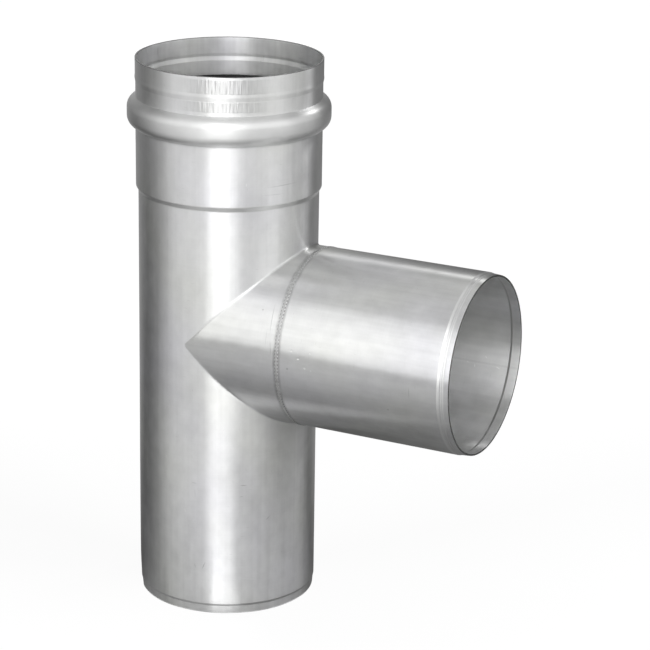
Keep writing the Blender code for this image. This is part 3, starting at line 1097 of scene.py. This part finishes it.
# Brightness of card and walls by the turn to the right of the camera's side of the tee, in degrees. The
# card's brightness is painted light and shade, darkest at the back, where the tee's shadow is painted.
CARD_AROUND = (
    (-180, 0.50), (-150, 0.38), (-127, 0.04), (-105, 0.15), (-72, 0.62), (-40, 0.86),
    (0, 0.9), (20, 0.54), (60, 0.50), (92, 0.40), (120, 0.18), (145, 0.40),
    (180, 0.50),
)
WALL_AROUND = (
    (-180, 0.6), (-160, 0.36), (-140, 0.26), (-112, 0.36), (-92, 0.62), (-72, 1.2),
    (-28, 1.3), (-23, 2.6), (-15, 2.95), (-5, 2.8), (2, 2.3), (9, 1.95),
    (14, 1.5), (24, 1.35), (50, 1.3), (63, 1.4), (80, 1.0), (100, 0.75),
    (112, 0.6), (126, 0.2), (160, 0.2), (180, 0.3),
)
# Shares of that brightness by the distance from the tee, and by the height above the floor. The card dims
# near the tee: a painted shadow.
CARD_OUTWARDS = ((0.0, 0.25), (0.1, 0.45), (0.2, 0.75), (0.35, 1.0), (1.0, 0.75))
WALL_UPWARDS = ((0.0, 0.9), (0.35, 1.05), (0.8, 1.05), (1.5, 0.85))
CEILING = 0.85
# A painted pool of light that lies on the card before the tee: corners as metres towards the camera and to
# its right
KEY_POOL = ((0.045, -0.009), (0.075, -0.021), (0.078, 0.003), (0.045, 0.008))
KEY_POOL_LIFT = 0.6 * MM
KEY_POOL_GLOW = 1.3
PAPER_GLOW = 0.95  # the rest of the paper's white is the light that falls on it, so it keeps shadows
PAPER_GREY = 0.13
PAPER_REACH = 3.0  # metres from the middle to each side
ROOM_GREY = 0.5  # what the room beyond the cards gives to what isn't metal
# The narrow lamp behind the right of the tee: turn and rise in degrees, then metres
STRIP_TURN = 132
STRIP_RISE = 39
STRIP_DISTANCE = 0.9
STRIP_SIZE = (0.16, 0.05)
STRIP_STRENGTH = 24.0


def showing_background(tree):
    """1 for the rays that show the background: the camera's, and those that metal or glass sends on."""
    path = add_node(tree, "LightPath", output="Is Camera Ray")
    seen = path
    for kind in ("Is Glossy Ray", "Is Transmission Ray"):
        seen = add_node(tree, "Math", {0: seen, 1: path.node.outputs[kind]}, operation="MAXIMUM")
    return seen


def add_world():
    world = bpy.data.worlds.new("white_room")
    bpy.context.scene.world = world
    world.use_nodes = True
    tree = world.node_tree
    grey = add_node(tree, "Background", {"Color": (ROOM_GREY, ROOM_GREY, ROOM_GREY, 1)})
    white = add_node(tree, "Background", {"Color": (1, 1, 1, 1)})
    mixed = add_node(tree, "MixShader", {0: showing_background(tree), 1: grey, 2: white})
    set_inputs(tree.nodes["World Output"], {"Surface": mixed})


def add_stage_piece(name, points, faces, material):
    mesh = bpy.data.meshes.new(name)
    mesh.from_pydata(points, [], faces)
    mesh.materials.append(material)
    piece = add_object(name, mesh)
    return piece


def add_floor():
    material, shader = new_material("white_paper")
    factors = {0: showing_background(shader.id_data), 1: PAPER_GLOW}
    paper = {
        "Base Color": (PAPER_GREY, PAPER_GREY, PAPER_GREY, 1),
        "Roughness": 1.0,
        "Specular IOR Level": 0.0,
        "Emission Color": (1, 1, 1, 1),
        "Emission Strength": add_node(shader.id_data, "Math", factors, operation="MULTIPLY"),
    }
    set_inputs(shader, paper)
    reach = PAPER_REACH
    corners = [(-reach, -reach, 0), (reach, -reach, 0), (reach, reach, 0), (-reach, reach, 0)]
    add_stage_piece("studio_floor", corners, [(0, 1, 2, 3)], material)


def ramp(tree, value, stops):
    """The stops' brightness for each value, between 0 and 1, and the level that 1 stands for."""
    low = stops[0][0]
    high = stops[-1][0]
    level = max(brightness for at, brightness in stops)
    share = add_node(tree, "MapRange", {"Value": value, "From Min": low, "From Max": high})
    shade = add_node(tree, "ValToRGB", {"Fac": share})
    elements = shade.node.color_ramp.elements
    while len(elements) < len(stops):
        elements.new(0.5)
    for element, (at, brightness) in zip(elements, stops):
        element.position = (at - low) / (high - low)
        element.color = (brightness / level, brightness / level, brightness / level, 1)
    return shade, level


def lit_card(name, strength=1.0, around=(), outwards=(), upwards=()):
    """Card that shines evenly, or by stops for the turn around the tee, the distance and the height."""
    material, shader = new_material(name)
    tree = material.node_tree
    tree.nodes.remove(shader)
    place = add_node(tree, "TexCoord", output="Object")
    x, y, height = add_node(tree, "SeparateXYZ", {0: place}).node.outputs
    level_place = add_node(tree, "CombineXYZ", {"X": x, "Y": y})
    distance = add_node(tree, "VectorMath", {0: level_place}, output="Value", operation="LENGTH")
    turn = add_node(tree, "Math", {0: y, 1: x}, operation="ARCTAN2")
    azimuth = add_node(tree, "Math", {0: turn}, operation="DEGREES")
    brightness = add_node(tree, "CombineXYZ", {"X": 1.0, "Y": 1.0, "Z": 1.0})  # white to begin with
    for value, stops in ((azimuth, around), (distance, outwards), (height, upwards)):
        if stops:
            shade, level = ramp(tree, value, stops)
            strength *= level
            brightness = add_node(tree, "VectorMath", {0: brightness, 1: shade}, operation="MULTIPLY")
    light = add_node(tree, "Emission", {"Color": brightness, "Strength": strength})
    set_inputs(tree.nodes["Material Output"], {"Surface": light})
    return material


def add_card(points, faces, material):
    """A card that only the metal shows. Its points are given from the tee, with X towards the camera."""
    card = add_stage_piece(material.name, points, faces, material)
    card.location = (RUN_AXIS_X, 0, 0)
    card.rotation_euler = (0, 0, CAMERA_SIDE)
    card.visible_camera = False
    card.visible_shadow = False


def add_cards():
    """The card under the tee, the walls round it, the ceiling and the painted pool of light."""
    turns = range(-180, 180, CARD_TURN)
    points = []
    for radius, height in ((CARD_HOLE, CARD_LIFT), (WALL_RADIUS, CARD_LIFT), (WALL_RADIUS, WALL_HEIGHT)):
        points += [on_circle(radius, math.radians(turn), height) for turn in turns]
    count = len(turns)
    card = []
    walls = []
    for j, turn in enumerate(turns):
        k = (j + 1) % count
        card.append((j, k, count + k, count + j))
        if abs(turn + CARD_TURN / 2) < 180 - GAP:
            walls.append((count + j, count + k, 2 * count + k, 2 * count + j))
    ceiling = [tuple(range(2 * count, 3 * count))]
    add_card(points, card, lit_card("card_of_painted_light_and_shadow", around=CARD_AROUND, outwards=CARD_OUTWARDS))
    add_card(points, walls, lit_card("grey_walls", around=WALL_AROUND, upwards=WALL_UPWARDS))
    add_card(points, ceiling, lit_card("grey_ceiling", CEILING))
    corners = [(x, y, KEY_POOL_LIFT) for x, y in KEY_POOL]
    add_card(corners, [tuple(range(len(corners)))], lit_card("painted_pool_of_light", KEY_POOL_GLOW))


def add_hair_strip():
    """The lamp that draws the thin line along the branch. It faces the tee and lies along the branch."""
    length, width = STRIP_SIZE
    data = bpy.data.lights.new("hair_strip", "AREA")
    data.shape = "RECTANGLE"
    data.size = length
    data.size_y = width
    data.energy = STRIP_STRENGTH * length * width * math.pi
    light = add_object("hair_strip", data)
    angle = CAMERA_SIDE + math.radians(STRIP_TURN)
    rise = math.radians(STRIP_RISE)
    facing = Vector(on_circle(math.cos(rise), angle, math.sin(rise)))
    side = Vector((1, 0, 0)) - facing * facing.x
    side.normalize()
    light.location = Vector((0, 0, RIM / 2)) + facing * STRIP_DISTANCE
    light.rotation_euler = Matrix((side, facing.cross(side), facing)).transposed().to_euler()
    light.visible_camera = False


add_camera()
add_floor()
add_world()
add_cards()
add_hair_strip()
bpy.context.scene.view_settings.view_transform = "Standard"
